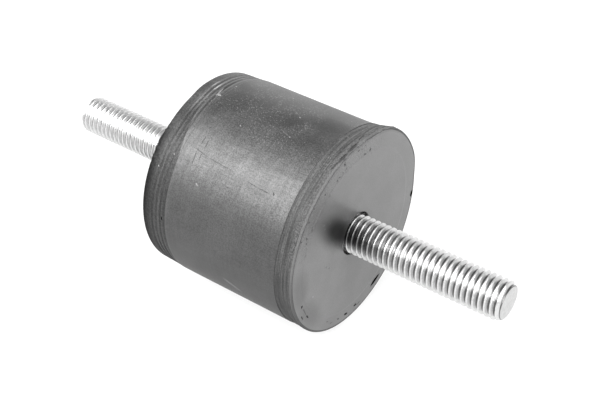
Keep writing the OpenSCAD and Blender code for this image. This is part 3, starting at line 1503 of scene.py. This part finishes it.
@dataclass(frozen=True)
class ZincFinish:
    """Bright zinc plate on a rolled thread, with painted shade in the thread's roots and on the shank
    beside the rubber.
    """

    face_x: float
    tip_x: float
    bright: float = 0.66
    # Painted shade in the thread's roots.
    thread_root_shade: float = 0.10
    end_shade: float = 0.56
    root_radius: float = 4.1
    root_depth: float = 0.22
    end_edge: Pair = (0.06, 0.02)
    # Painted shade on the shank beside the rubber.
    near_rubber_shade_len: float = 15.0
    near_rubber_shade_share: float = 0.2
    near_rubber_shade_side_share: float = 0.95
    relief_mm: float = 0.003
    near_rubber_shade_arc: Arc = Arc(12.0, 14.1, 29.8)
    mottle: Texture = Texture((1.3, 1.3, 1.3), 3.0)
    grain: Texture = Texture((9.0, 2.0, 2.0), 3.0)
    mottle_shade: Swing = Swing(0.3, 0.7, 0.9, 1.06)
    grain_roughness: Swing = Swing(0.3, 0.7, 0.28, 0.42)

    def material(self) -> bpy.types.Material:
        """The plated thread's material.

        Returns:
            The finished material.
        """
        shader = Shader("bright_zinc")
        shader.find_axis()
        from_middle = shader.math("ABSOLUTE", shader.x)
        raised = shader.rise(shader.radius, self.root_radius, self.root_radius + self.root_depth)
        end = shader.rise(from_middle, self.tip_x - self.end_edge[0], self.tip_x - self.end_edge[1])
        grain = shader.texture(self.grain)
        # Painted shade in the thread's roots.
        shade = shader.blend(raised, self.thread_root_shade, self.bright)
        shade = shader.blend(end, shade, self.end_shade)
        mottled = shader.swing(shader.texture(self.mottle), self.mottle_shade)
        # Painted shade on the shank beside the rubber, strongest on one arc.
        at_rubber = shader.blend(shader.over(self.near_rubber_shade_arc), self.near_rubber_shade_side_share, self.near_rubber_shade_share)
        near_rubber_shade = shader.spread(from_middle, self.face_x, self.face_x + self.near_rubber_shade_len, at_rubber, 1.0)
        shader.give(Base_Color=shader.grey(shader.product(shade, mottled, near_rubber_shade)), Metallic=1.0)
        shader.give(Roughness=shader.swing(grain, self.grain_roughness))
        shader.bump(grain, self.relief_mm)
        return shader.material


@dataclass(frozen=True)
class SteelFinish:
    """Plain dull steel of the plates inside the rubber."""

    mill: Texture = Texture((1.0, 6.0, 0.6), 3.0)
    mill_shade: Swing = Swing(0.3, 0.7, 0.32, 0.46)
    mill_roughness: Swing = Swing(0.3, 0.7, 0.37, 0.53)

    def material(self) -> bpy.types.Material:
        """The plates' material.

        Returns:
            The finished material.
        """
        shader = Shader("dull_steel")
        mill = shader.texture(self.mill)
        shader.give(Base_Color=shader.grey(shader.swing(mill, self.mill_shade)), Metallic=1.0)
        shader.give(Roughness=shader.swing(mill, self.mill_roughness))
        return shader.material


@dataclass(frozen=True)
class FloorFinish:
    """Pale sheet of a light table, lit softly from beneath."""

    fibre: Texture = Texture((0.03, 0.03, 0.03), 2.0)
    fibre_shade: Swing = Swing(0.3, 0.7, 0.14, 0.16)
    roughness: float = 0.95
    gloss: float = 0.1
    glow: float = 0.80

    def material(self) -> bpy.types.Material:
        """The floor's material.

        Returns:
            The finished material.
        """
        shader = Shader("pale_sheet")
        shade = shader.swing(shader.texture(self.fibre), self.fibre_shade)
        shader.give(Base_Color=shader.grey(shade), Roughness=self.roughness, Specular_IOR_Level=self.gloss)
        shader.give(Emission_Color=(1.0, 1.0, 1.0, 1.0), Emission_Strength=self.glow)
        return shader.material


@dataclass
class ThreadedStud:
    """One headed stud: the buried head, the neck in its plate and the threaded shank."""

    end: End
    face_x: float
    tip_x: float
    crest_r: float = 5.0
    pitch: float = 1.5
    depth: float = 0.9
    crest_half: float = 0.10
    flank_angle: float = 30.0
    flank_round: float = 0.07
    run_in_len: float = 0.6
    run_in_depth: float = 0.3
    neck_r: float = 5.5
    head_r: float = 8.0
    head_t: float = 3.0
    plate_t: float = 3.0
    skin_t: float = 0.8
    tip_depth: float = 0.75
    tip_len: float = 1.15
    tip_round: float = 0.35
    first_ring_r: float = 0.4
    points_per_pitch: int = 22
    columns: int = 112

    def outline(self) -> tuple[np.ndarray, np.ndarray, np.ndarray]:
        """Outline from the tip's pole to the head's pole, without the thread.

        Returns:
            Distance along the axis, radius, and whether the thread is cut there.
        """
        plate_top = self.face_x - self.skin_t
        plate_bottom = plate_top - self.plate_t
        head_bottom = plate_bottom - self.head_t
        shank_x = self.tip_x - self.tip_len
        shank_points = round(self.points_per_pitch * (shank_x - plate_top) / self.pitch)
        tip_r = self.crest_r - self.tip_depth
        bend = math.pi / 2.0 - math.atan2(self.tip_depth, self.tip_len)
        round_x = self.tip_x - self.tip_round
        round_r = tip_r - self.tip_round
        chamfer = (round_x + self.tip_round * math.cos(bend), round_r + self.tip_round * math.sin(bend))
        profile = Profile()
        profile.line((self.tip_x, self.first_ring_r), (self.tip_x, round_r), 6)
        profile.arc((round_x, round_r), self.tip_round, 0.0, math.degrees(bend), 6)
        cut_first = profile.count
        profile.line(chamfer, (shank_x, self.crest_r), 14)
        profile.line((shank_x, self.crest_r), (plate_top, self.crest_r), shank_points)
        cut_last = profile.count
        profile.line((plate_top, self.neck_r), (plate_bottom, self.neck_r), 3)
        profile.line((plate_bottom, self.neck_r), (plate_bottom, self.head_r), 3)
        profile.line((plate_bottom, self.head_r), (head_bottom, self.head_r), 3)
        profile.line((head_bottom, self.head_r), (head_bottom, 0.0), 4)
        x, r = profile.arrays()
        rings = np.arange(x.size)
        return x, r, (rings >= cut_first) & (rings < cut_last)

    def thread_drop(self, x: np.ndarray, angles: np.ndarray) -> np.ndarray:
        """How far the thread's surface lies below its crest.

        The nearest crest is at X = pitch times (angle over a turn plus a whole number), which is a
        right-hand helix. Beyond a narrow rounded crest the flank falls at its angle from the normal
        of the axis down to a rounded root.

        Args:
            x: X of the rings.
            angles: Angles of the columns in radians.

        Returns:
            Drop for each ring and column.
        """
        turns = x[:, None] / self.pitch - angles / FULL_TURN
        offset = np.abs(turns - np.round(turns)) * self.pitch
        flank = (offset - self.crest_half) / math.tan(math.radians(self.flank_angle))
        share = np.clip(flank / self.depth, 0.0, 1.0)
        return self.depth * (share - self.flank_round * np.sin(FULL_TURN * share))

    def build(self) -> bpy.types.Object:
        """Make the stud's mesh: the outline less the thread, and never above the tip's chamfer.

        Returns:
            The stud as an object.
        """
        x, r, cut = self.outline()
        angles = even_turn(self.columns)
        along = x * self.end.value
        run_in = smooth_step(x, self.face_x - self.skin_t, self.face_x + self.run_in_len)[:, None]
        sunk = self.thread_drop(along, angles) * run_in + self.run_in_depth * (1.0 - run_in)
        radius = np.where(cut[:, None], np.minimum(r[:, None], self.crest_r - sunk), r[:, None])
        grid_x = np.repeat(along[:, None], self.columns, axis=1)
        if self.end is End.REAR:
            grid_x = grid_x[::-1]
            radius = radius[::-1]
        return revolve(f"{self.end.name.lower()}_threaded_stud", grid_x, radius, angles)

    def dress(self, piece: bpy.types.Object, zinc: bpy.types.Material) -> None:
        """Give the stud its zinc plate."""
        piece.data.materials.append(zinc)


@dataclass
class InnerPlates:
    """The two steel plates inside the rubber, which stay as they are and get a finish."""

    finish: SteelFinish = SteelFinish()

    def dress(self, nodes: dict[str, bpy.types.Object]) -> None:
        """Put plain steel on both plates.

        Args:
            nodes: The frame's objects by node name.
        """
        steel = self.finish.material()
        for end in End:
            plate = nodes[end.plate_node]
            plate.data.materials.clear()
            plate.data.materials.append(steel)


@dataclass(frozen=True)
class Softbox:
    """A rectangular studio light that points at the object."""

    name: str
    azimuth: float
    elevation: float
    distance_m: float
    width_m: float
    height_m: float
    watts: float
    in_reflections: bool = True

    def build(self) -> None:
        """Hang the light: along its direction from the origin, turned to face it."""
        back = Vector(direction(self.azimuth, self.elevation))
        data = bpy.data.lights.new(self.name, "AREA")
        data.shape = "RECTANGLE"
        data.size = self.width_m
        data.size_y = self.height_m
        data.energy = self.watts
        lamp = bpy.data.objects.new(self.name, data)
        lamp.location = back * self.distance_m
        lamp.rotation_euler = back.to_track_quat("Z", "Y").to_euler()
        lamp.visible_camera = False
        lamp.visible_glossy = self.in_reflections
        bpy.context.scene.collection.objects.link(lamp)


@dataclass
class Studio:
    """Pale floor that curves up all round, soft lights and the camera."""

    floor_z: float
    floor_radius_m: float = 2.0
    first_ring_m: float = 0.02
    rise_radius_m: float = 1.0
    rings: int = 40
    columns: int = 96
    world_shade: float = 0.6
    camera_near_m: float = 0.01

    def floor(self) -> bpy.types.Object:
        """Make the floor: a disc whose rim bends up along a quarter circle.

        Returns:
            The floor as an object.
        """
        flat = np.linspace(self.first_ring_m, self.floor_radius_m, self.rings)
        bend = np.linspace(0.0, 0.5 * np.pi, self.rings)[1:]
        radius = np.concatenate([flat, self.floor_radius_m + self.rise_radius_m * np.sin(bend)])
        height = np.concatenate([np.zeros(self.rings), self.rise_radius_m * (1.0 - np.cos(bend))])
        angles = even_turn(self.columns)
        grid = np.stack([
            radius[:, None] * np.cos(angles),
            radius[:, None] * np.sin(angles),
            np.repeat((height + self.floor_z * MM)[:, None], self.columns, axis=1),
        ], axis=-1).reshape(-1, 3)
        vertices = np.concatenate([grid, [[0.0, 0.0, self.floor_z * MM]]])
        index = np.arange(radius.size * self.columns).reshape(radius.size, self.columns)
        right = np.roll(index, -1, axis=1)
        quads = np.stack([index[:-1], index[1:], right[1:], right[:-1]], axis=-1).reshape(-1, 4)
        centre = np.full(self.columns, len(vertices) - 1)
        fan = np.stack([centre, index[0], right[0]], axis=-1)
        mesh = bpy.data.meshes.new("studio_floor")
        mesh.from_pydata(vertices.tolist(), [], quads.tolist() + fan.tolist())
        mesh.polygons.foreach_set("use_smooth", np.ones(len(mesh.polygons), dtype=bool))
        mesh.materials.append(FloorFinish().material())
        floor = bpy.data.objects.new("studio_floor", mesh)
        bpy.context.scene.collection.objects.link(floor)
        return floor

    def light(self) -> None:
        """Hang the lights and set the world's dim grey."""
        boxes = (
            Softbox("key_softbox", -30.0, 45.0, 0.75, 0.95, 0.44, 18.0),
            Softbox("left_card", -70.0, 22.0, 0.9, 0.45, 0.32, 0.9),
            Softbox("back_sheet", 208.0, 9.0, 1.5, 2.2, 0.5, 5.0),
            Softbox("overhead_wash", 60.0, 84.0, 1.4, 1.6, 1.6, 11.5, False),
            Softbox("fill_softbox", 82.0, 45.0, 1.0, 1.0, 0.8, 12.0),
        )
        for box in boxes:
            box.build()
        world = bpy.data.worlds.new("dim_studio")
        world.use_nodes = True
        background = world.node_tree.nodes["Background"]
        background.inputs["Color"].default_value = (self.world_shade,) * 3 + (1.0,)
        bpy.context.scene.world = world
        bpy.context.scene.view_settings.view_transform = "Standard"

    def camera(self) -> None:
        """Place the camera at the photographed angle."""
        data = bpy.data.cameras.new("studio_camera")
        data.lens = VIEW.focal_length
        data.sensor_width = VIEW.sensor_width
        data.clip_start = self.camera_near_m
        camera = bpy.data.objects.new("studio_camera", data)
        camera.location = Vector(VIEW.place * MM)
        camera.rotation_euler = Vector(VIEW.back).to_track_quat("Z", "Y").to_euler()
        bpy.context.scene.collection.objects.link(camera)
        bpy.context.scene.camera = camera


def main() -> None:
    """Build the cushion, the studs, the plates and the studio in order."""
    logging.basicConfig(level=logging.INFO, format="%(name)s: %(message)s")
    body_low, body_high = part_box("rubber_body")
    rubber = RubberBody(half_len=body_high.x / MM)
    cushion = rubber.build()
    rubber.dress(cushion)
    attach(cushion, BODY)
    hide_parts("rubber_body")
    LOG.info("%s: %d faces", cushion.name, len(cushion.data.polygons))
    zinc = ZincFinish(face_x=rubber.half_len, tip_x=CAD_BOX[1][0] / MM).material()
    for end in End:
        stud_low, stud_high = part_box(end.stud_node)
        tip_x = max(abs(stud_low.x), abs(stud_high.x)) / MM
        stud = ThreadedStud(end, rubber.half_len, tip_x)
        piece = stud.build()
        stud.dress(piece, zinc)
        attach(piece, BODY)
        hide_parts(end.stud_node)
        LOG.info("%s: %d faces", piece.name, len(piece.data.polygons))
    InnerPlates().dress(frame["nodes"])
    LOG.info("inner plates dressed")
    studio = Studio(floor_z=body_low.z / MM)
    studio.floor()
    studio.light()
    studio.camera()
    LOG.info("studio ready, floor at %.2f mm", studio.floor_z)


if __name__ == "__main__":
    main()
